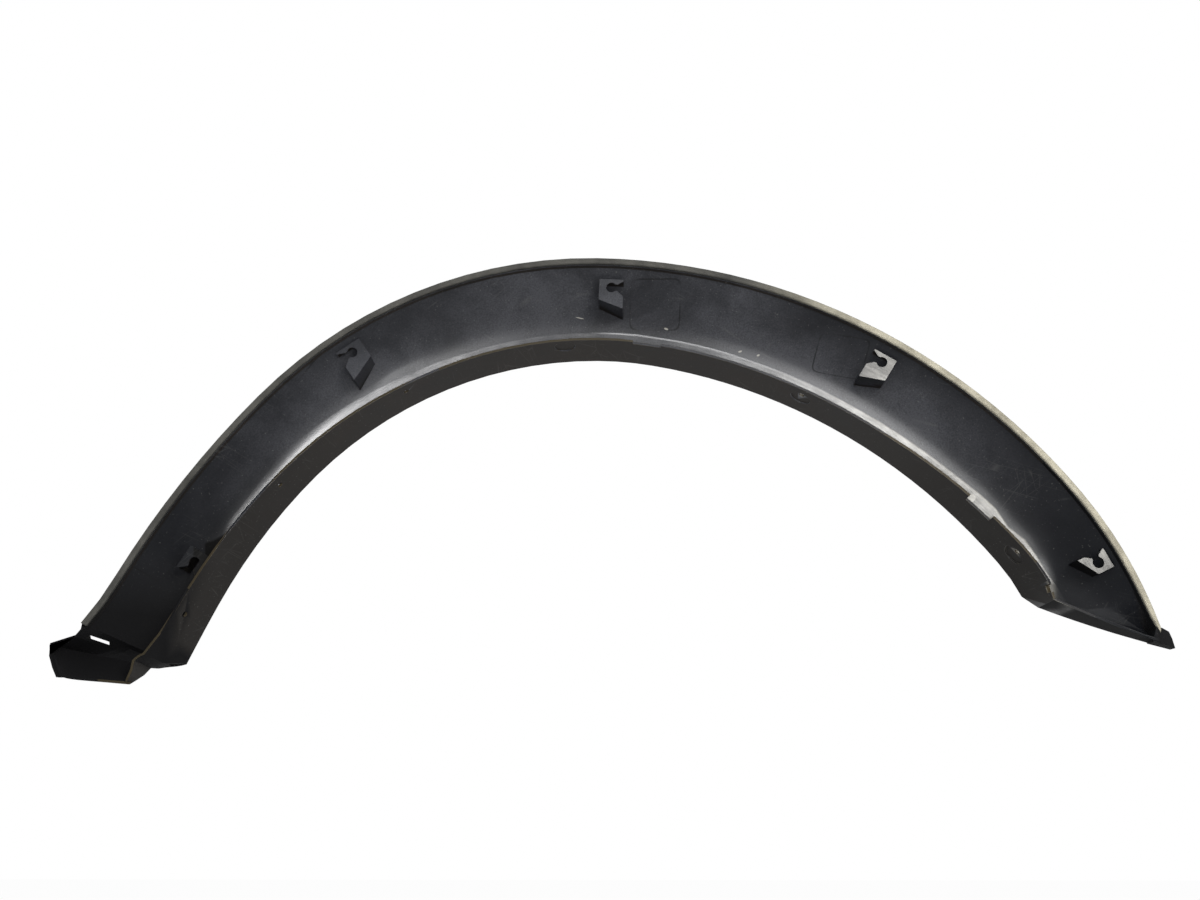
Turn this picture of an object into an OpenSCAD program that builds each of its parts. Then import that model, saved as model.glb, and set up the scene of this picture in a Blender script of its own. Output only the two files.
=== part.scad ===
// Wheel arch trim: one moulded band that caps the edge of a car's wheel opening,
// seen from the body side, with a soft seal along its outer edge.
// X runs along the car, Y out of the body, Z up. Y = 0 is the plane of the body panel
// until the last move, which puts the origin on the crown clip seat.

/* [Outer edge] */
// Width of the whole trim at the crown
crown_band = 89; // [80:0.5:95]
// Radius of the left shoulder beyond that of the opening below it
left_gap = 50; // [40:1:60]
// Length of the left shoulder arc
outer_left_len = 360; // [345:1:375]
// Radius of the outer edge down the left leg
outer_leg_r = 830; // [700:10:1000]
// Length of the left leg arc
outer_leg_len = 213; // [203:1:223]
// Radius of the hollow at the foot of the left leg
outer_hollow_r = 255; // [200:5:400]
// Length of the hollow
outer_hollow_len = 48; // [40:1:55]
// Radius of the outer edge over the right half beyond that of the opening below it
right_gap = 40; // [30:1:50]
// Length of the outer edge's right half beyond that of the opening below it
right_more = 86; // [76:1:96]
// Radius of the outer edge where it closes on the right tip
outer_far_r = 371; // [330:1:420]
// Length of that end
outer_far_len = 139; // [125:1:150]
// Length of the outer edge beside the tapering tail
outer_tail_len = 92; // [84:1:98]

/* [Wheel opening] */
// Height of the wheel opening above the wheel centre at the crown
root_h = 414; // [405:0.5:420]
// Radius of the opening over the left shoulder
root_left_r = 366; // [355:1:380]
// Length of that arc
root_left_len = 317; // [305:1:330]
// Radius of the opening down the left side
root_side_r = 519; // [480:1:560]
// Length of that arc
root_side_len = 141; // [130:1:150]
// Radius of the nearly straight end of the left leg
root_leg_r = 1500; // [1200:10:2000]
// Length of that end
root_leg_len = 66; // [60:1:72]
// Radius of the opening just right of the crown
root_crown_r = 322; // [290:1:360]
// Length of that arc
root_crown_len = 52; // [40:1:60]
// Radius of the opening over the right half
root_right_r = 523; // [510:1:540]
// Length of the right half, from the crown to the lower corner
root_right_len = 446; // [438:1:456]
// Radius of the tighter end above the lower right corner
root_end_r = 150; // [120:5:200]
// Length of that end
root_end_len = 34; // [28:1:40]
// Radius of the lower right corner
corner_r = 16; // [12:1:24]
// Angle that the corner turns through
corner_turn = 40; // [34:1:44]
// Radius of the tail's lower edge
tail_r = 900; // [700:10:1200]
// Length of the tail's lower edge
tail_len = 104; // [96:1:110]

/* [Section] */
// Wall of the moulding
wall = 2.5; // [2:0.1:3]
// Depth of the wheel opening edge below the body plane
arch_depth = 55; // [48:1:62]
// Depth left at the right tip
tail_depth = 22; // [16:1:28]
// Width of the chamfer beside the opening
chamfer_w = 28; // [22:1:34]
// Depth of the chamfer
chamfer_d = 8; // [5:1:11]
// Fullness of the band's curve, from flat to boxy
band_full = 1.4; // [1.2:0.1:1.8]
// Outward lean of the return flange's free edge at the crown
flange_lean = 3.5; // [2:0.5:5]
// Further lean that it gains down the left leg
lean_left = 13; // [8:0.5:15]
// Further lean that it gains down to the lower right corner
lean_right = 7.5; // [4:0.5:9]
// Radius inside the edge of the opening
edge_r = 3; // [2:0.5:4]

/* [Seal] */
// Width of the seal
seal_w = 6; // [5:0.5:7]
// Height of the seal above its land
seal_h = 4; // [3:0.5:5]
// Step from the seal's land down to the band
land_step = 3.5; // [2:0.5:5]

/* [Clip seats] */
// Radius of a clip seat
seat_r = 5; // [4:0.25:6]
// Width of the throat that the clip snaps through
seat_throat = 6.4; // [5:0.2:7]
// Depth of the seat plates below the body plane
seat_depth = 9; // [8:0.5:11]
// Wall of the clip towers
tower_wall = 2.2; // [1.8:0.1:2.6]

/* [Screw holes] */
// Diameter of the screw holes in the return flange
screw_d = 5.5; // [4:0.5:7]
// Distance of the holes from the flange's free edge
screw_in = 13; // [12:1:20]
// Radius of the shallow pockets round three of them
pocket_r = 10; // [8:0.5:12]
// Depth of those pockets
pocket_d = 0.8; // [0.4:0.1:1.2]

/* [Foot] */
// Width of the slot above the foot
slot_w = 2.6; // [2:0.2:3.4]
// Length of the slot
slot_len = 13; // [10:1:16]

/* [Hidden] */
$fn = 48;

// Both edges are runs of tangent arcs, [radius, length], that start here at the crown
crown_x = -12;
outer_tilt = 1.4;
root_tilt = 0.8;
outer_h = root_h + crown_band;
outer_left_r = root_left_r + left_gap;
outer_right_r = root_right_r + right_gap;
corner_len = corner_r * corner_turn * PI / 180;
corner_s = root_right_len + root_end_len;
outer_right_len = corner_s + right_more;
outer_left_total = outer_left_len + outer_leg_len + outer_hollow_len;
root_left_total = root_left_len + root_side_len + root_leg_len;
outer_left = [[outer_left_r, outer_left_len], [outer_leg_r, outer_leg_len],
              [-outer_hollow_r, outer_hollow_len]];
outer_right = [[outer_right_r, outer_right_len + outer_tail_len - outer_far_len],
               [outer_far_r, outer_far_len]];
root_left = [[root_left_r, root_left_len], [root_side_r, root_side_len], [root_leg_r, root_leg_len]];
root_right = [[root_crown_r, root_crown_len], [root_right_r, root_right_len - root_crown_len],
              [root_end_r, root_end_len], [-corner_r, corner_len], [-tail_r, tail_len]];

// The foot's sections: move of the outer edge and of the opening edge from the end of the
// left leg, share of the arch's depth, lean of the flange, and fullness of the curve
foot_rows = [
    [[0.7, -6.4], [-9, 2.2], 0.98, 15, 2],
    [[-3.8, -12.4], [-18.8, 2.5], 0.94, 8, 3],
    [[-25.8, -19.6], [-27.2, 2.9], 0.87, 1, 5],
    [[-24.7, -28.6], [-28.1, -5], 0.64, 1, 5],
    [[-20.7, -38.9], [-29.2, -10.9], 0.36, 2, 4],
    [[-16.2, -47.4], [-30.5, -15], 0.15, 2, 2]];

// Clip seats: distance along the outer edge from the crown, distance in from that edge,
// the side that each opens to, then the plate's reach outwards, its inner reach on the
// closed side and on the open side, and its half width
clips = [
    [97.2 - outer_left_total, 53.2, -1, 12, -10.5, -10, 11.5],
    [-264.3, 22.2, -1, 8.5, -13.5, -25, 13],
    [15, 27, 1, 8.5, -13, -21.5, 11.8],
    [300.3, 24.4, -1, 8.5, -15, -24, 12],
    [outer_right_len + 18.8, 22.8, -1, 11, -5, -16, 9.5]];
crown_clip = 2;

// Screw holes, and the pockets pressed into the flange's wheel side: distance along the
// opening edge from the crown, and for a pocket its distance beyond the line of the holes
screws = [46 - root_left_total, -335, -189, 201, corner_s - 36];
pockets = [[-31, 0], [201, 6], [corner_s - 36, 6]];
// Notches in the flange's free edge: middle and length along the edge, and depth
notches = [[47, 27, 4.5], [corner_s - 87, 28, 9]];

left_n = 24;
right_n = 26;
tail_n = 7;
curve_n = 8;
land_w = seal_w + 0.5;
seal_gap = 0.25;
wall_inset = 0.4;
embed = wall * 0.6;

// Turns a length on an arc to an angle
function turn_of(s, r) = s / r * 180 / PI;
function total(arcs, i = 0) = i < len(arcs) ? arcs[i][1] + total(arcs, i + 1) : 0;
// One arc from [x, z, slope], to the right for side 1 and to the left for side -1
function arc_to(at, r, s, side) =
    let (turn = turn_of(s, r), chord = 2 * r * sin(turn / 2), mid = at[2] + turn / 2)
    [at[0] + side * chord * cos(mid), at[1] - chord * sin(mid), at[2] + turn];
// The place and slope at a length s along a run of arcs
function along(arcs, s, at, side, i = 0) =
    let (last = i == len(arcs) - 1, here = last ? s : min(s, arcs[i][1]),
         next = arc_to(at, arcs[i][0], here, side))
    last || s <= arcs[i][1] ? next : along(arcs, s - arcs[i][1], next, side, i + 1);

function outer_s(s) = s < 0
    ? along(outer_left, -s, [crown_x, outer_h, -outer_tilt], -1)
    : along(outer_right, s, [crown_x, outer_h, outer_tilt], 1);
function root_s(s) = s < 0
    ? along(root_left, -s, [crown_x, root_h, -root_tilt], -1)
    : along(root_right, s, [crown_x, root_h, root_tilt], 1);
function xz(at) = [at[0], at[1]];

// u runs from -1 at the left leg's end, through 0 at the crown and 1 at the lower right
// corner, to 2 at the right tip
tail_root = corner_len + tail_len;
function outer_at(u) = xz(outer_s(u < 0 ? u * total(outer_left)
    : u <= 1 ? u * outer_right_len : outer_right_len + (u - 1) * outer_tail_len));
function root_at(u) = xz(root_s(u < 0 ? u * total(root_left)
    : u <= 1 ? u * corner_s : corner_s + (u - 1) * tail_root));
function outer_u(s) = s < 0 ? s / total(outer_left)
    : s <= outer_right_len ? s / outer_right_len : 1 + (s - outer_right_len) / outer_tail_len;
function root_u(s) = s < 0 ? s / total(root_left) : s / corner_s;

function depth_at(u) = u <= 1 ? arch_depth : arch_depth + (tail_depth - arch_depth) * (u - 1);
leg_twist = 5;
twist_from = 0.93;
lean_left_from = 0.35;
lean_right_from = 0.6;
function lean_at(u) = u > 1 ? 0
    : flange_lean + lean_left * max(0, (-u - lean_left_from) / (1 - lean_left_from))
        + lean_right * max(0, (u - lean_right_from) / (1 - lean_right_from))
        + (u < -twist_from ? leg_twist * pow((-u - twist_from) / (1 - twist_from), 1.5) : 0);

// A section: [outer point, opening point, depth, lean, fullness, land width, rim depth]
function arch_section(u) =
    [outer_at(u), root_at(u), depth_at(u), lean_at(u), band_full, land_w, seal_h];
function foot_section(row) =
    [outer_at(-1) + row[0], root_at(-1) + row[1], arch_depth * row[2], row[3], row[4], 1.2, 0.6];

function span_of(sec) = norm(sec[1] - sec[0]);
function chamfer_of(sec) = min(chamfer_w, 0.36 * span_of(sec));
function crease_y(sec) = sec[2] - wall - chamfer_d * sec[2] / arch_depth;
function band_y(sec, x) =
    let (x0 = sec[5] + 1, x1 = span_of(sec) - chamfer_of(sec), y0 = sec[6] + land_step,
         f = max(0, min(1, (x - x0) / (x1 - x0))))
    y0 + (crease_y(sec) - y0) * (1 - pow(1 - f, sec[4]));

// The inner face of a section as [distance in from the outer edge, depth]
function profile(sec) =
    let (w = span_of(sec), x0 = sec[5] + 1, x1 = w - chamfer_of(sec),
         r = min(edge_r, 0.12 * sec[2]), cx = w - wall - r, cy = sec[2] - wall - r)
    concat(
        [[0, sec[6]], [sec[5], sec[6]]],
        [for (k = [0:curve_n]) let (x = x0 + (x1 - x0) * pow(k / curve_n, 1.4)) [x, band_y(sec, x)]],
        [[(x1 + cx) / 2, (crease_y(sec) + cy + r) / 2]],
        [for (a = [0:45:90]) [cx + r * sin(a), cy + r * cos(a)]],
        [for (f = [0.5, 1]) [w - wall - sec[3] * f, cy * (1 - f)]]);

function in_space(sec, p) =
    let (way = (sec[1] - sec[0]) / span_of(sec), q = sec[0] + way * p[0]) [q[0], p[1], q[1]];
function inner_row(sec) = [for (p = profile(sec)) in_space(sec, p)];

sections = concat(
    [for (i = [len(foot_rows) - 1:-1:0]) foot_section(foot_rows[i])],
    [for (i = [-left_n:-1]) arch_section(i / left_n)],
    [for (i = [0:right_n]) arch_section(i / right_n)],
    [for (i = [1:tail_n]) arch_section(1 + i / tail_n)]);
inner = [for (sec = sections) inner_row(sec)];

// The outer face lies one wall along the normal of the inner one
function unit(v) = v / norm(v);
function skin_normal(g, i, j) =
    let (i1 = min(i + 1, len(g) - 1), i0 = max(i - 1, 0),
         j1 = min(j + 1, len(g[0]) - 1), j0 = max(j - 1, 0))
    unit(cross(g[i][j1] - g[i][j0], g[i1][j] - g[i0][j]));
function shell_ring(g, i) = concat(g[i],
    [for (j = [len(g[0]) - 1:-1:0]) g[i][j] - wall * skin_normal(g, i, j)]);

// A closed solid through rings of as many points each
module loft(rings) {
    n = len(rings[0]);
    m = len(rings);
    h = n / 2 - 1;
    polyhedron(
        points = [for (ring = rings) each ring],
        faces = concat(
            [for (i = [0:m - 2], j = [0:n - 1]) let (a = i * n + j, b = i * n + (j + 1) % n)
                [b, a, a + n]],
            [for (i = [0:m - 2], j = [0:n - 1]) let (a = i * n + j, b = i * n + (j + 1) % n)
                [b + n, b, a + n]],
            [for (j = [0:h - 1]) [n - 2 - j, n - 1 - j, j]],
            [for (j = [0:h - 1]) [j + 1, n - 2 - j, j]],
            [for (j = [0:h - 1]) let (e = (m - 1) * n) [e + n - 2 - j, e + j, e + n - 1 - j]],
            [for (j = [0:h - 1]) let (e = (m - 1) * n) [e + j + 1, e + j, e + n - 2 - j]]));
}

// A flat outline in X and Z, from depth y0 to depth y1
module slab(y0, y1) {
    translate([0, y1, 0])
        rotate([90, 0, 0])
            linear_extrude(y1 - y0)
                children();
}

// The section on which a point in X and Z lies, found by halving
function side_of(u, p) = let (a = outer_at(u), d = root_at(u) - a, v = p - a) d[0] * v[1] - d[1] * v[0];
function u_at(p, lo, hi, k = 12) = k == 0 ? (lo + hi) / 2
    : let (mid = (lo + hi) / 2) side_of(mid, p) > 0 ? u_at(p, mid, hi, k - 1) : u_at(p, lo, mid, k - 1);
function floor_y(p, u) =
    let (at = u_at(p, u - 0.2, u + 0.2), sec = arch_section(at)) band_y(sec, norm(p - sec[0])) + embed;

// A clip's own frame: t along the outer edge, r out towards it
function clip_frame(c) =
    let (at = outer_s(c[0]), slope = c[0] < 0 ? -at[2] : at[2],
         along_t = [cos(slope), -sin(slope)], out_r = [sin(slope), cos(slope)])
    [xz(at) - out_r * c[1], along_t, out_r];
function clip_point(c, t, r) = let (f = clip_frame(c)) f[0] + f[1] * t + f[2] * r;
crown_seat = clip_frame(clips[crown_clip])[0];

// One wall of a tower, between two points of the plate's outline, down into the band
module tower_side(c, a, b) {
    u = outer_u(c[0]);
    inward = unit([b[1] - a[1], a[0] - b[0]]) * tower_wall;
    start = a + inward * wall_inset / tower_wall;
    end = b + inward * wall_inset / tower_wall;
    foot = [start, end, end + inward, start + inward];
    base = [for (p = foot) let (q = clip_point(c, p[0], p[1])) [q[0], floor_y(q, u), q[1]]];
    top = [for (p = foot) let (q = clip_point(c, p[0], p[1])) [q[0], seat_depth + 0.4, q[1]]];
    if (min([for (q = base) q[1]]) > seat_depth + 0.8)
        polyhedron(concat(top, base),
            [[0, 1, 2], [0, 2, 3], [4, 6, 5], [4, 7, 6], [0, 4, 1], [1, 4, 5], [1, 5, 2],
             [2, 5, 6], [2, 6, 3], [3, 6, 7], [3, 7, 0], [0, 7, 4]]);
}

// A clip tower: a plate that stands off the band on walls, open on one side, with a
// round seat that a clip slides into through a V mouth
module clip_tower(c) {
    o = c[2];
    w = c[6];
    top = c[3];
    outline = [[o * w, top], [-o * w, top], [-o * w, c[4]], [o * w, c[5]], [o * w, -seat_r * 1.8]];
    seat = clip_point(c, 0, 0);
    difference() {
        slab(seat_depth, seat_depth + wall)
            polygon([for (p = outline) clip_point(c, p[0], p[1])]);
        translate([seat[0], seat_depth - 1, seat[1]])
            rotate([-90, 0, 0])
                cylinder(r = seat_r, h = wall + 2);
        slab(seat_depth - 1, seat_depth + wall + 1)
            polygon([for (p = [[0, seat_throat / 2], [o * seat_r * 1.15, seat_throat / 2],
                               [o * (w + 0.1), top - 1.5], [o * (w + 3), top - 1.5],
                               [o * (w + 3), -seat_r * 1.8], [o * (w + 0.1), -seat_r * 1.8],
                               [o * seat_r * 1.15, -seat_throat / 2], [0, -seat_throat / 2]])
                clip_point(c, p[0], p[1])]);
    }
    corners = o < 0 ? outline : [for (i = [4:-1:0]) outline[i]];
    for (i = [0:3])
        if (abs(corners[i][0] + corners[i + 1][0]) < w || corners[i][0] * o < 0)
            tower_side(c, corners[i], corners[i + 1]);
}

// The frame of a screw at a length s along the opening edge: z square to the flange, from
// the middle of its wall, at a depth y below the body plane
module on_flange(s, y) {
    at = root_s(s);
    sec = arch_section(root_u(s));
    leant = sec[3] * (1 - y / (sec[2] - wall));
    translate([at[0], 0, at[1]])
        rotate([0, s < 0 ? -at[2] : at[2], 0])
            translate([0, y, wall / 2 + leant])
                rotate([-atan(sec[3] / sec[2]), 0, 0])
                    children();
}
module screw_hole(s) {
    on_flange(s, screw_in)
        cylinder(d = screw_d, h = 8 * wall, center = true);
}
module pocket(p) {
    on_flange(p[0], screw_in + p[1])
        translate([0, 0, pocket_d - wall / 2 - 4 * wall])
            cylinder(r = pocket_r, h = 4 * wall);
}

// A notch in the flange's free edge
module notch(n) {
    at = root_s(n[0]);
    lean = arch_section(root_u(n[0]))[3];
    translate([at[0], 0, at[1]])
        rotate([0, at[2], 0])
            translate([-n[1] / 2, -5, lean - 4 * wall])
                cube([n[1], n[2] + 5, 8 * wall]);
}

// The free edge steps down where the arch flange turns into the tail's
module corner_step() {
    at = root_s(corner_s);
    translate([at[0], 0, at[1]])
        rotate([0, at[2] + 20, 0])
            translate([-3, -5, -2])
                cube([7, 11, 20]);
}

// The slot above the foot, a little steeper than the section there
slot_turn = 6;
module foot_slot() {
    a = outer_at(-1);
    d = root_at(-1) - a;
    turn = atan2(d[1], d[0]) + slot_turn;
    way = [cos(turn), sin(turn)];
    side = [way[1], -way[0]];
    q = a + [4.7, -9.7];
    slab(-5, arch_depth + 5)
        polygon([q, q + way * slot_len, q + way * slot_len + side * slot_w, q + side * slot_w]);
}

// The flange is cut off level at the left leg's end
module leg_cut() {
    e = root_at(-1);
    slab(-5, arch_depth + 10)
        polygon([e + [30, 6.5], e + [0, 5.4], e + [-9, 3.6], e + [-18, 2.4], e + [-26.5, 0.5],
                 e + [-26.5, -40], e + [30, -40]]);
}

// The block that closes the right tip beyond the seal's end. Its face turns away at a crease
tip_turn = 28;
module tip_block() {
    e = outer_at(2);
    difference() {
        slab(0.5, tail_depth * 0.7)
            polygon([e + [-4, -1], e + [2, -1.6], e + [8.8, -4.5], e + [11, -11], e + [12.3, -19.5],
                     e + [-8, -14]]);
        translate([e[0], 0.5, e[1] - 4.5])
            rotate([0, -18, 0])
                rotate([0, 0, tip_turn])
                    translate([0, -20, -30])
                        cube([40, 20, 60]);
    }
}

module in_frame() {
    translate([-crown_seat[0], -seat_depth, -crown_seat[1]])
        children();
}

module arch_moulding() {
    color([0.16, 0.17, 0.2])
        in_frame()
            difference() {
                union() {
                    loft([for (i = [0:len(inner) - 1]) shell_ring(inner, i)]);
                    for (c = clips)
                        clip_tower(c);
                    tip_block();
                }
                for (s = screws)
                    screw_hole(s);
                for (p = pockets)
                    pocket(p);
                for (n = notches)
                    notch(n);
                corner_step();
                foot_slot();
                leg_cut();
            }
}

module edge_seal() {
    bead = [[seal_gap, seal_h], [seal_gap, 0.8], [seal_gap + 0.8, 0], [seal_w - 0.8, 0],
            [seal_w, 0.8], [seal_w, seal_h]];
    color([0.62, 0.6, 0.53])
        in_frame()
            loft([for (i = [len(foot_rows):len(sections) - 1])
                [for (p = bead) in_space(sections[i], p)]]);
}

arch_moulding();
edge_seal();
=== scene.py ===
from math import atan2, hypot, pi, radians

import bmesh
import bpy
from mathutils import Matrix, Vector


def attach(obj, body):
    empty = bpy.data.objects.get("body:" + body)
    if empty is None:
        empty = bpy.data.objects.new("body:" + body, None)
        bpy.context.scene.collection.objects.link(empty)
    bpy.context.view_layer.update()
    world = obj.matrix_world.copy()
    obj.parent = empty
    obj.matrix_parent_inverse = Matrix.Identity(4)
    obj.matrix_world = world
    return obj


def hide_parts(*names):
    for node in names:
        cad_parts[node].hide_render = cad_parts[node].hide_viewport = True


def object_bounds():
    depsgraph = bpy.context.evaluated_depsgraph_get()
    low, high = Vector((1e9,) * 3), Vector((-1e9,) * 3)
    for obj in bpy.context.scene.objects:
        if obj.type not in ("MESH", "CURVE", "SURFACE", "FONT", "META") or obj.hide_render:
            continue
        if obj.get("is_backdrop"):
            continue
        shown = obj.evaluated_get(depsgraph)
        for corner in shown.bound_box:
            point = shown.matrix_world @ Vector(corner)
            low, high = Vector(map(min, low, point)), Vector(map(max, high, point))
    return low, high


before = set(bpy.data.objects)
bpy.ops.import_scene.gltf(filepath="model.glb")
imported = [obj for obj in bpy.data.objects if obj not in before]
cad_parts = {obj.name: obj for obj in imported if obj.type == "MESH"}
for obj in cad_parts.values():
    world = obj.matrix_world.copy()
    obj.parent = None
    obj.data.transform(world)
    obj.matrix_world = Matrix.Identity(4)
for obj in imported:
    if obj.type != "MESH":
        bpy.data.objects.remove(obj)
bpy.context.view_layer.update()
scene = bpy.context.scene
scene.view_settings.view_transform = "Standard"

# Camera: it stands on the body side of the trim, a little below the wheel's centre,
# and looks slightly up into the hollow side, so the return flange shows all round.
camera = bpy.data.objects.new("Camera", bpy.data.cameras.new("Camera"))
scene.collection.objects.link(camera)
camera.location = (0.006373, -1.129, -0.480466)
camera.rotation_euler = (radians(105.64), 0, radians(0.883))
camera.data.lens = 37.5
camera.data.sensor_width = 36
camera.data.clip_start = 0.05
scene.camera = camera

# Arch moulding: the whole trim is one injection moulding in black polypropylene, about 2.5 mm
# thick, with its clip towers, flange, foot and end block moulded in one. It clips and screws
# to the body. The mould leaves rounded edges, and handling has scuffed the hollow side.
BEAD = 0.0003
CREASE_ANGLE, FLAT_ANGLE = radians(24), radians(0.2)
DOUBLES = 0.0004
SHORTEST_ROUNDED = 2.2


def as_smooth(node, name, bead, segments):
    """A copy of a CAD node with its doubles merged and its hard edges rounded off. Edges that
    meet a very short one, SHORTEST_ROUNDED beads or less, stay hard instead."""
    form = bmesh.new()
    form.from_mesh(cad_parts[node].data)
    bmesh.ops.remove_doubles(form, verts=form.verts, dist=DOUBLES)
    bmesh.ops.dissolve_limit(form, angle_limit=FLAT_ANGLE, verts=form.verts, edges=form.edges)
    busy = {v for e in form.edges if e.calc_length() < bead * SHORTEST_ROUNDED for v in e.verts}
    rounded = []
    for e in form.edges:
        if len(e.link_faces) == 2 and e.calc_face_angle(0) > CREASE_ANGLE:
            if busy.isdisjoint(e.verts):
                rounded.append(e)
            else:
                e.smooth = False
    bmesh.ops.bevel(form, geom=rounded, offset=bead, offset_type="OFFSET", segments=segments,
                    profile=0.5, affect="EDGES", clamp_overlap=False, material=-1)
    for f in form.faces:
        f.smooth = True
    mesh = bpy.data.meshes.new(name)
    form.to_mesh(mesh)
    form.free()
    piece = bpy.data.objects.new(name, mesh)
    scene.collection.objects.link(piece)
    weighted = piece.modifiers.new("even_shading", "WEIGHTED_NORMAL")
    weighted.weight = 100
    weighted.keep_sharp = True
    return piece


moulding = as_smooth("arch_moulding", "moulded_arch", BEAD, 2)


# The wheel's centre, the arch's mean radius, and the steps in which the flange's free edge is
# found: in each one it lies at most RIM_DEPTH outside the innermost point.
WHEEL_X, WHEEL_Z = -0.0016, -0.4755
MEAN_RADIUS = 0.42
RIM_STEP, RIM_DEPTH = pi / 60, 0.02
MARKS = {"turned_in": ("FLOAT", "POINT"), "from_edge": ("FLOAT", "POINT"),
         "lay": ("FLOAT_VECTOR", "POINT"), "clip_plate": ("FLOAT", "FACE"),
         "free_edge": ("FLOAT", "FACE"), "underside": ("FLOAT", "FACE"),
         "hollow_side": ("FLOAT", "FACE")}


def mark_zones(piece):
    """Values for the material. Per point: how far it faces in to the wheel, how far outside the
    flange's free edge it stands, and its lay, which is the distance round the arch, across it
    and in depth. Per face, 1 or 0: clip plate, free edge, underside of the tail, hollow side."""
    points = piece.data.vertices
    spokes = [(point.co.x - WHEEL_X, point.co.z - WHEEL_Z) for point in points]
    turned = [-(point.normal.x * x + point.normal.z * z) / hypot(x, z)
              for point, (x, z) in zip(points, spokes)]
    root, rim = {}, {}
    for x, z in spokes:
        step = round(atan2(z, x) / RIM_STEP)
        root[step] = min(root.get(step, 1), hypot(x, z))
    for (x, z), inward in zip(spokes, turned):
        step = round(atan2(z, x) / RIM_STEP)
        if inward > 0.93 and hypot(x, z) < root[step] + RIM_DEPTH:
            rim[step] = max(rim.get(step, 0), hypot(x, z))
    for name, (kind, domain) in MARKS.items():
        piece.data.attributes.new(name, kind, domain)
    marks = {name: piece.data.attributes[name].data for name in MARKS}
    for i, (point, (x, z)) in enumerate(zip(points, spokes)):
        step = atan2(z, x) / RIM_STEP
        below = int(step // 1)
        near = [rim[min(rim, key=lambda known: abs(known - k))] for k in (below, below + 1)]
        beyond = hypot(x, z) - near[0] - (near[1] - near[0]) * (step - below)
        marks["turned_in"][i].value = turned[i]
        marks["from_edge"][i].value = beyond
        marks["lay"][i].vector = (atan2(z, x) * MEAN_RADIUS, beyond, point.co.y)
    for i, face in enumerate(piece.data.polygons):
        middle, facing = face.center, face.normal
        beyond = sum(marks["from_edge"][v].value for v in face.vertices) / len(face.vertices)
        inward = sum(turned[v] for v in face.vertices) / len(face.vertices)
        foot = middle.x < -0.4 and middle.z < -0.3 and (middle.x > -0.436 or middle.z < -0.3735)
        at_edge = abs(beyond) < 0.004 or foot and beyond < 0.03
        marks["clip_plate"][i].value = abs(middle.y) < 0.0002 and facing.y < -0.9 and beyond > 0.006
        marks["free_edge"][i].value = (facing.y < -0.6 and middle.y < 0.012 and middle.x < 0.405
                                       and face.area < 0.00005 and at_edge)
        marks["underside"][i].value = facing.z < -0.6 and middle.x > 0.4
        marks["hollow_side"][i].value = facing.y < 0.05 or inward > 0.5


mark_zones(moulding)


def new_material(name):
    """A named node material: the tree, its shader, and the object's own coordinates."""
    made = bpy.data.materials.new(name)
    made.use_nodes = True
    tree = made.node_tree
    shader = tree.nodes["Principled BSDF"]
    place = tree.nodes.new("ShaderNodeTexCoord").outputs["Object"]
    return made, tree, shader, place


def feed(tree, value, socket):
    """Sets a socket to a number or a colour, or links it to an output."""
    if isinstance(value, bpy.types.NodeSocket):
        tree.links.new(value, socket)
    elif isinstance(value, tuple) and socket.type == "RGBA":
        socket.default_value = (*value, 1)
    else:
        socket.default_value = value


def noise(tree, place, scale, detail=3.0, roughness=0.55, distortion=0.0):
    """A noise texture on the object's own coordinates."""
    n = tree.nodes.new("ShaderNodeTexNoise")
    for name, value in (("Vector", place), ("Scale", scale), ("Detail", detail),
                        ("Roughness", roughness), ("Distortion", distortion)):
        feed(tree, value, n.inputs[name])
    return n.outputs["Fac"]


def spread(tree, value, low, high, to_low=0.0, to_high=1.0, kind="LINEAR"):
    """Stretches the part of a value between low and high to another range."""
    m = tree.nodes.new("ShaderNodeMapRange")
    m.interpolation_type = kind
    for name, number in (("Value", value), ("From Min", low), ("From Max", high),
                         ("To Min", to_low), ("To Max", to_high)):
        feed(tree, number, m.inputs[name])
    return m.outputs["Result"]


def blend(tree, share, first, second):
    """Mixes two colours, each a colour or an output, by a share."""
    m = tree.nodes.new("ShaderNodeMix")
    m.data_type = "RGBA"
    for value, socket in ((share, m.inputs["Factor"]), (first, m.inputs[6]), (second, m.inputs[7])):
        feed(tree, value, socket)
    return m.outputs[2]


def sums(tree, operation, first, *others):
    """Arithmetic on numbers or outputs, from left to right."""
    for other in others:
        m = tree.nodes.new("ShaderNodeMath")
        m.operation = operation
        feed(tree, first, m.inputs[0])
        feed(tree, other, m.inputs[1])
        first = m.outputs[0]
    return first


def times(tree, *values):
    """The product of numbers or outputs."""
    return sums(tree, "MULTIPLY", *values)


def most(tree, *values):
    """The largest of numbers or outputs."""
    return sums(tree, "MAXIMUM", *values)


def stretched(tree, place, at, turn, scale):
    """Coordinates moved, turned and scaled by a Mapping node."""
    m = tree.nodes.new("ShaderNodeMapping")
    m.vector_type = "TEXTURE"
    feed(tree, place, m.inputs["Vector"])
    for name, value in (("Location", at), ("Rotation", turn), ("Scale", scale)):
        m.inputs[name].default_value = value
    return m.outputs["Vector"]


def new_group(name, sockets):
    """A shader node group with the named sockets, and its input and output nodes."""
    group = bpy.data.node_groups.new(name, "ShaderNodeTree")
    for label, way, kind in sockets:
        group.interface.new_socket(label, in_out=way, socket_type=kind)
    return group, group.nodes.new("NodeGroupInput"), group.nodes.new("NodeGroupOutput")


def placed(tree, group, **values):
    """A node that holds a group, with its inputs fed."""
    node = tree.nodes.new("ShaderNodeGroup")
    node.node_tree = group
    for name, value in values.items():
        feed(tree, value, node.inputs[name.replace("_", " ")])
    return node.outputs


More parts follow.
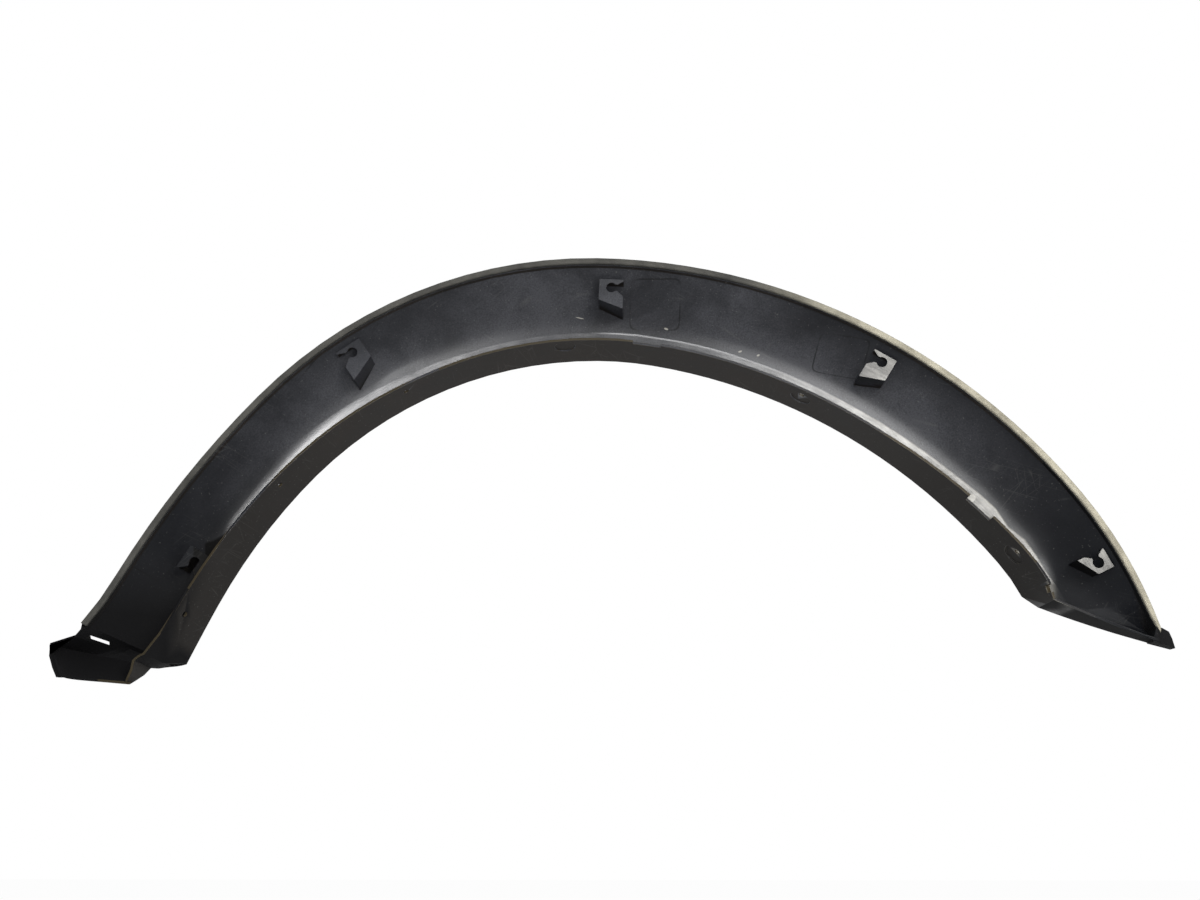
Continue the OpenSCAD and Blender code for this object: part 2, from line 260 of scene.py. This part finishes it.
# Wear shared by the plastic and the foam: slow clouds, dust specks, and hairline scratches that
# run mostly along the length of the part, where hands and other parts have rubbed it.
worn, given, taken = new_group("handling_wear", (
    ("Vector", "INPUT", "NodeSocketVector"), ("Cloud Scale", "INPUT", "NodeSocketFloat"),
    ("Speck Scale", "INPUT", "NodeSocketFloat"), ("Cloud", "OUTPUT", "NodeSocketFloat"),
    ("Speck", "OUTPUT", "NodeSocketFloat"), ("Scratch", "OUTPUT", "NodeSocketFloat")))
cloud = noise(worn, given.outputs["Vector"], given.outputs["Cloud Scale"], 5.0, 0.6, 0.4)
speck = noise(worn, given.outputs["Vector"], given.outputs["Speck Scale"], 1.0, 0.5)
rubbed = noise(worn, given.outputs["Vector"], 22.0, 3.0, 0.6)
lines = []
for turn, low in ((25, 0.52), (-40, 0.56), (78, 0.6)):
    along = stretched(worn, given.outputs["Vector"], (0.03, 0.0, 0.01 * turn),
                      (0, radians(turn), 0), (6.0, 1.0, 0.1))
    cells = worn.nodes.new("ShaderNodeTexVoronoi")
    cells.feature = "DISTANCE_TO_EDGE"
    cells.inputs["Scale"].default_value = 9.0
    worn.links.new(along, cells.inputs["Vector"])
    fine = spread(worn, cells.outputs["Distance"], 0.0, 0.012, 1.0, 0.0)
    lines.append(times(worn, fine, spread(worn, rubbed, low, low + 0.1)))
worn.links.new(spread(worn, cloud, 0.3, 0.7), taken.inputs["Cloud"])
worn.links.new(spread(worn, speck, 0.7, 0.78), taken.inputs["Speck"])
worn.links.new(most(worn, *lines), taken.inputs["Scratch"])

# The pale haze tone on the next line also carries painted sheen.
BLACK, HAZE_SHEEN_TONE = (0.004, 0.0045, 0.006), (0.037, 0.038, 0.044)
FLANGE_DARK, FLANGE_PALE = (0.010, 0.009, 0.0083), (0.021, 0.018, 0.016)
# On the next line, the second tone is a pale cream painted highlight and the third a warm painted glint.
DUST, STRIP_HIGHLIGHT, RIM_GLINT = (0.12, 0.12, 0.115), (0.13, 0.12, 0.095), (0.03, 0.024, 0.014)
# On the next line: the tone of the pad lines and of a painted shadow, bare chips, and painted shade.
LINE_AND_SHADOW, BARE, SHADED = (0.002, 0.002, 0.002), (0.3, 0.29, 0.26), (0.0025, 0.0025, 0.003)
# The worn strip's width on the left and on the right
STRIP_LEFT, STRIP_RIGHT = 0.0285, 0.0245
# Pads that have left a thin line: middle in X and Z, turn in degrees, half size
PADS = (((0.043, -0.011), 2, (0.0245, 0.021)), ((0.222, -0.066), 14, (0.0235, 0.0165)),
        ((-0.303, -0.068), -50, (0.022, 0.018)), ((-0.425, -0.262), -60, (0.018, 0.015)))
# Chips and scuffs on the hollow side, given in the same way
CHIPS = (((0.054, -0.0311), 20, (0.0022, 0.0009)), ((0.0438, -0.0511), 70, (0.0028, 0.0008)),
         ((0.1266, -0.0547), -15, (0.002, 0.0009)), ((0.1442, -0.059), -20, (0.0016, 0.0009)),
         ((0.3414, -0.204), -30, (0.006, 0.004)), ((-0.0315, -0.02), 10, (0.004, 0.0005)))

black_pp, tree, shader, place = new_material("black_polypropylene")
wear = placed(tree, worn, Vector=place, Cloud_Scale=11.0, Speck_Scale=520.0)
cut = tree.nodes.new("ShaderNodeSeparateXYZ")
tree.links.new(place, cut.inputs[0])
side, tall = cut.outputs["X"], cut.outputs["Z"]
zones = {}
for name in MARKS:
    zone = tree.nodes.new("ShaderNodeAttribute")
    zone.attribute_name = name
    zones[name] = zone.outputs["Vector" if name == "lay" else "Fac"]
turned, beyond, hollow = zones["turned_in"], zones["from_edge"], zones["hollow_side"]


def within(value, low, high, soft):
    """1 between two limits, with soft ends."""
    rise = spread(tree, value, low - soft, low + soft, kind="SMOOTHSTEP")
    fall = spread(tree, value, high - soft, high + soft, 1.0, 0.0, kind="SMOOTHSTEP")
    return times(tree, rise, fall)


def against(value):
    """What is left of 1."""
    return sums(tree, "SUBTRACT", 1.0, value)


# The bright strip worn into the chamfer, with a glow outside it and a fine lip near the crown.
# It is broken up by fine streaks along the arch, but not on the left, and fades at the crown.
flange = spread(tree, turned, 0.8, 0.92, kind="SMOOTHSTEP")
streaks = noise(tree, stretched(tree, zones["lay"], (0, 0, 0), (0, 0, 0), (12.0, 1.0, 1.0)),
                420.0, 3.0, 0.6)
mottle = times(tree, spread(tree, noise(tree, place, 60.0, 5.0, 0.65), 0.35, 0.65, 0.55, 1.0),
               spread(tree, streaks, 0.35, 0.6, 0.7, 1.0))
mottle = most(tree, mottle, spread(tree, side, -0.2, -0.28))
along = most(tree, spread(tree, side, -0.3, -0.07, 1.0, 0.14), spread(tree, side, 0.05, 0.24, 0.14, 1.0))
along = times(tree, along, within(side, -0.366, 0.41, 0.006))
chamfer = within(turned, 0.2, 0.74, 0.05)
past_strip = sums(tree, "SUBTRACT", beyond, spread(tree, side, -0.3, -0.15, STRIP_LEFT, STRIP_RIGHT))
core = spread(tree, past_strip, -0.0008, 0.0012, 1.0, 0.0, kind="SMOOTHSTEP")
fade = spread(tree, past_strip, 0.0, 0.028, 0.3, 0.0, kind="SMOOTHSTEP")
strip = times(tree, core, chamfer, along, spread(tree, beyond, 0.007, 0.012, 0.5, 1.0))
glow = times(tree, fade, chamfer, along)
plates = times(tree, zones["clip_plate"], spread(tree, side, 0.1, 0.2, 0.06, 1.0))
polish = most(tree, times(tree, most(tree, strip, plates), mottle), glow)
lip = times(tree, within(past_strip, -0.0008, 0.0008, 0.0003), chamfer, within(side, -0.01, 0.22, 0.02))
polish = most(tree, polish, times(tree, lip, 0.5))

# Haze in slow clouds on the hollow side. The clouds are haze; their growth towards the opening,
# the crown and the top is painted sheen and painted light from above. The outer skin has an even,
# fainter haze.
painted_top_light = spread(tree, tall, -0.26, -0.1, 0.12, 1.0, kind="SMOOTHSTEP")
sheen_at_opening_and_crown = spread(tree, beyond, 0.03, 0.1, 1.15, 0.05, kind="SMOOTHSTEP")
sheen_at_opening_and_crown = most(tree, sheen_at_opening_and_crown, spread(tree, sums(tree, "ABSOLUTE", side, 0.0), 0.12, 0.25, 1.0, 0.0))
haze_and_sheen = times(tree, spread(tree, wear["Cloud"], 0.0, 1.0, 0.12, 1.1), times(tree, painted_top_light, sheen_at_opening_and_crown))
skin = times(tree, spread(tree, wear["Cloud"], 0.0, 1.0, 0.25, 0.5), against(hollow))
haze_and_sheen = sums(tree, "ADD", times(tree, haze_and_sheen, hollow), skin)
haze_and_sheen = times(tree, haze_and_sheen, spread(tree, noise(tree, place, 650.0, 2.0, 0.7), 0.35, 0.65, 0.72, 1.28))
colour = blend(tree, haze_and_sheen, BLACK, HAZE_SHEEN_TONE)

# Painted shade: the foot, the underside of the tail and the tip block are painted dark and made dull.
foot = times(tree, spread(tree, tall, -0.255, -0.315), spread(tree, side, -0.36, -0.37),
             against(spread(tree, turned, 0.85, 0.95)))
tail = most(tree, zones["underside"], times(tree, spread(tree, side, 0.405, 0.42), flange))
shaded_ends = times(tree, most(tree, spread(tree, side, 0.478, 0.486), foot, tail), hollow)


def turned_box(at, turn, size, depth_at, depth):
    """Coordinates in a box about a place: its middle, its turn and its half size."""
    return stretched(tree, place, (at[0], depth_at, at[1]), (0, radians(turn), 0),
                     (size[0], depth, size[1]))


def pad_line(at, turn, size):
    """The thin line round a rectangle with round corners."""
    box = tree.nodes.new("ShaderNodeSeparateXYZ")
    tree.links.new(turned_box(at, turn, size, 0, 1), box.inputs[0])
    reach = [sums(tree, "POWER", sums(tree, "ABSOLUTE", box.outputs[axis], 0), 8) for axis in ("X", "Z")]
    return within(sums(tree, "ADD", *reach), 0.78, 1.25, 0.1)


def chip(at, turn, size):
    """A small scuffed spot."""
    away = tree.nodes.new("ShaderNodeVectorMath")
    away.operation = "LENGTH"
    tree.links.new(turned_box(at, turn, size, 0.03, 0.03), away.inputs[0])
    return times(tree, hollow, spread(tree, away.outputs["Value"], 0.8, 1.1, 0.7, 0.0))


# Over the haze and sheen, one after the other: the broken pad lines, a painted shadow in the wedge
# beside the lowest left clip seat, the flange's browner tone, a pale cream painted highlight on the
# right of the strip, the chips, dust and scratches, painted shade on the ends, and a warm painted glint
# on the free edge.
broken = times(tree, hollow, spread(tree, noise(tree, place, 34.0, 2.0), 0.42, 0.58, 0.1, 0.65))
pads = most(tree, *(pad_line(*pad) for pad in PADS))
colour = blend(tree, times(tree, pads, broken), colour, LINE_AND_SHADOW)
# Painted shadow: a dark wedge beside the lowest left clip seat, in the shaded gap by the clip tower.
painted_shadow_wedge = sums(tree, "SUBTRACT", beyond, spread(tree, side, -0.358, -0.384, 0.018, 0.0265))
painted_shadow_wedge = times(tree, spread(tree, painted_shadow_wedge, -0.001, 0.001, 1.0, 0.0), within(side, -0.386, -0.357, 0.001))
painted_shadow_wedge = times(tree, painted_shadow_wedge, times(tree, hollow, spread(tree, turned, 0.75, 0.85, 1.0, 0.0)))
colour = blend(tree, painted_shadow_wedge, colour, LINE_AND_SHADOW)
# The flange's pale clouds grow higher up: painted light from above.
brown = blend(tree, times(tree, wear["Cloud"], painted_top_light), FLANGE_DARK, FLANGE_PALE)
colour = blend(tree, flange, colour, brown)
# Painted highlight: the strip's right half is painted pale cream where the warm light from the right
# reflects.
painted_strip_highlight = times(tree, strip, mottle, spread(tree, side, 0.1, 0.25))
colour = blend(tree, painted_strip_highlight, colour, STRIP_HIGHLIGHT)
for place_of_chip in CHIPS:
    colour = blend(tree, chip(*place_of_chip), colour, BARE)
colour = blend(tree, times(tree, wear["Speck"], 0.3), colour, DUST)
colour = blend(tree, times(tree, wear["Scratch"], 0.14), colour, DUST)
# Painted shade over the foot, the tail's underside and the tip block.
colour = blend(tree, shaded_ends, colour, SHADED)
# Painted glint: a warm pale tone on the flange's free edge, where its edge catches the light.
colour = blend(tree, zones["free_edge"], colour, RIM_GLINT)
tree.links.new(colour, shader.inputs["Base Color"])

# Roughness: the flange, the dark places and the band outside the strip on the right are duller.
rough = sums(tree, "ADD", spread(tree, wear["Cloud"], 0.0, 1.0, 0.4, 0.5), times(tree, flange, 0.2))
rough = sums(tree, "ADD", rough, times(tree, most(tree, shaded_ends, painted_shadow_wedge), 0.4))
matt = times(tree, within(past_strip, 0.0, 0.035, 0.001), spread(tree, side, -0.12, 0.0))
rough = sums(tree, "ADD", rough, times(tree, matt, 0.2))
tree.links.new(rough, shader.inputs["Roughness"])
shader.inputs["Specular IOR Level"].default_value = 0.13
tree.links.new(polish, shader.inputs["Coat Weight"])
shader.inputs["Coat Roughness"].default_value = 0.24


def roughen(tree, shader, relief, strength):
    """Fine relief in the surface, less than half a millimetre deep."""
    bump = tree.nodes.new("ShaderNodeBump")
    bump.inputs["Strength"].default_value = strength
    bump.inputs["Distance"].default_value = 0.0004
    tree.links.new(relief, bump.inputs["Height"])
    tree.links.new(bump.outputs["Normal"], shader.inputs["Normal"])


grain = noise(tree, place, 900.0, 2.0, 0.6)
roughen(tree, shader, sums(tree, "ADD", grain, times(tree, wear["Scratch"], -0.8)), 0.1)
moulding.data.materials.append(black_pp)
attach(moulding, "root")
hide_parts("arch_moulding")

# Edge seal: a soft foam rubber strip bonded to the land along the outer edge. It closes the
# gap to the body panel, and its two ends are cut square. Its left half is painted darker and its
# right half paler cream: painted shade and light, as the light falls from the right.
SEAL_BEAD = 0.0006
FOAM_LIT = (0.2, 0.185, 0.145), (0.4, 0.375, 0.3)
FOAM_SHADED = (0.026, 0.0255, 0.023), (0.06, 0.058, 0.052)
SOIL = (0.04, 0.035, 0.03)

seal = as_smooth("edge_seal", "foam_edge_seal", SEAL_BEAD, 2)
foam, tree, shader, place = new_material("grey_foam_rubber")
wear = placed(tree, worn, Vector=place, Cloud_Scale=45.0, Speck_Scale=300.0)
cut = tree.nodes.new("ShaderNodeSeparateXYZ")
tree.links.new(place, cut.inputs[0])
# Painted light and shade: a paler cream tone on the right, a darker one on the left.
foam_lit = blend(tree, wear["Cloud"], *FOAM_LIT)
foam_shaded = blend(tree, wear["Cloud"], *FOAM_SHADED)
colour = blend(tree, spread(tree, cut.outputs["X"], 0.12, 0.27, kind="SMOOTHSTEP"), foam_shaded, foam_lit)
colour = blend(tree, times(tree, wear["Speck"], 0.3), colour, SOIL)
tree.links.new(colour, shader.inputs["Base Color"])
shader.inputs["Roughness"].default_value = 0.75
shader.inputs["Specular IOR Level"].default_value = 0.3
roughen(tree, shader, noise(tree, place, 1400.0, 2.0, 0.6), 0.5)
seal.data.materials.append(foam)
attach(seal, "root")
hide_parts("edge_seal")

# Floor and light: a plain pale floor well below the trim, a white surround that only the
# camera and clear reflections see, and soft studio lamps, the main one high on the right.
FLOOR_Z, FLOOR_REACH = -0.78, 4.0
FLOOR_WHITE = 0.97


def seen_rays(tree):
    """1 for the rays that the camera sends, straight or by way of gloss or glass, else 0."""
    ray = tree.nodes.new("ShaderNodeLightPath").outputs
    return most(tree, ray["Is Camera Ray"], ray["Is Glossy Ray"], ray["Is Transmission Ray"])


floor = bpy.data.objects.new("floor", bpy.data.meshes.new("floor"))
scene.collection.objects.link(floor)
form = bmesh.new()
bmesh.ops.create_grid(form, x_segments=1, y_segments=1, size=FLOOR_REACH)
bmesh.ops.translate(form, verts=form.verts, vec=(0, 0, FLOOR_Z))
form.to_mesh(floor.data)
form.free()
pale, tree, shader, _ = new_material("pale_floor")
shader.inputs["Base Color"].default_value = (0.82, 0.82, 0.82, 1)
shader.inputs["Roughness"].default_value = 0.9
bright = tree.nodes.new("ShaderNodeEmission")
mixed = tree.nodes.new("ShaderNodeMixShader")
tree.links.new(times(tree, seen_rays(tree), FLOOR_WHITE), mixed.inputs["Fac"])
tree.links.new(shader.outputs["BSDF"], mixed.inputs[1])
tree.links.new(bright.outputs["Emission"], mixed.inputs[2])
tree.links.new(mixed.outputs["Shader"], tree.nodes["Material Output"].inputs["Surface"])
floor.data.materials.append(pale)
floor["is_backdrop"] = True

world = bpy.data.worlds.new("white_surround")
world.use_nodes = True
scene.world = world
tree = world.node_tree
dim = tree.nodes["Background"]
dim.inputs["Color"].default_value = (0.9, 0.95, 1.0, 1)
dim.inputs["Strength"].default_value = 0.3
white = tree.nodes.new("ShaderNodeBackground")
white.inputs["Color"].default_value = (1, 1, 1, 1)
white.inputs["Strength"].default_value = 1.0
either = tree.nodes.new("ShaderNodeMixShader")
tree.links.new(seen_rays(tree), either.inputs["Fac"])
tree.links.new(dim.outputs["Background"], either.inputs[1])
tree.links.new(white.outputs["Background"], either.inputs[2])
tree.links.new(either.outputs["Shader"], tree.nodes["World Output"].inputs["Surface"])


def lamp(name, at, towards, size, watts, tint):
    """A soft square area lamp that faces a point."""
    light = bpy.data.lights.new(name, "AREA")
    light.size = size
    light.energy = watts
    light.color = tint
    made = bpy.data.objects.new(name, light)
    scene.collection.objects.link(made)
    made.location = at
    made.rotation_mode = "QUATERNION"
    made.rotation_quaternion = (Vector(towards) - Vector(at)).to_track_quat("-Z", "Y")


lamp("front", (0.0, -1.2, -0.45), (0.0, 0, -0.2), 0.18, 6, (1.0, 1.0, 1.0))
lamp("right", (0.92, -1.85, 0.32), (0.2, 0, -0.15), 0.8, 36, (1.0, 0.97, 0.9))
lamp("high", (0.0, -1.4, 0.65), (0.0, 0, -0.1), 0.6, 5, (0.9, 0.95, 1.0))
lamp("low", (0.465, -1.2, -0.91), (-0.3, 0, -0.2), 0.4, 14, (0.95, 0.97, 1.0))
lamp("behind", (0.2, 1.8, 1.2), (0, 0, -0.2), 1.2, 15, (1, 1, 1))

low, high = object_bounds()
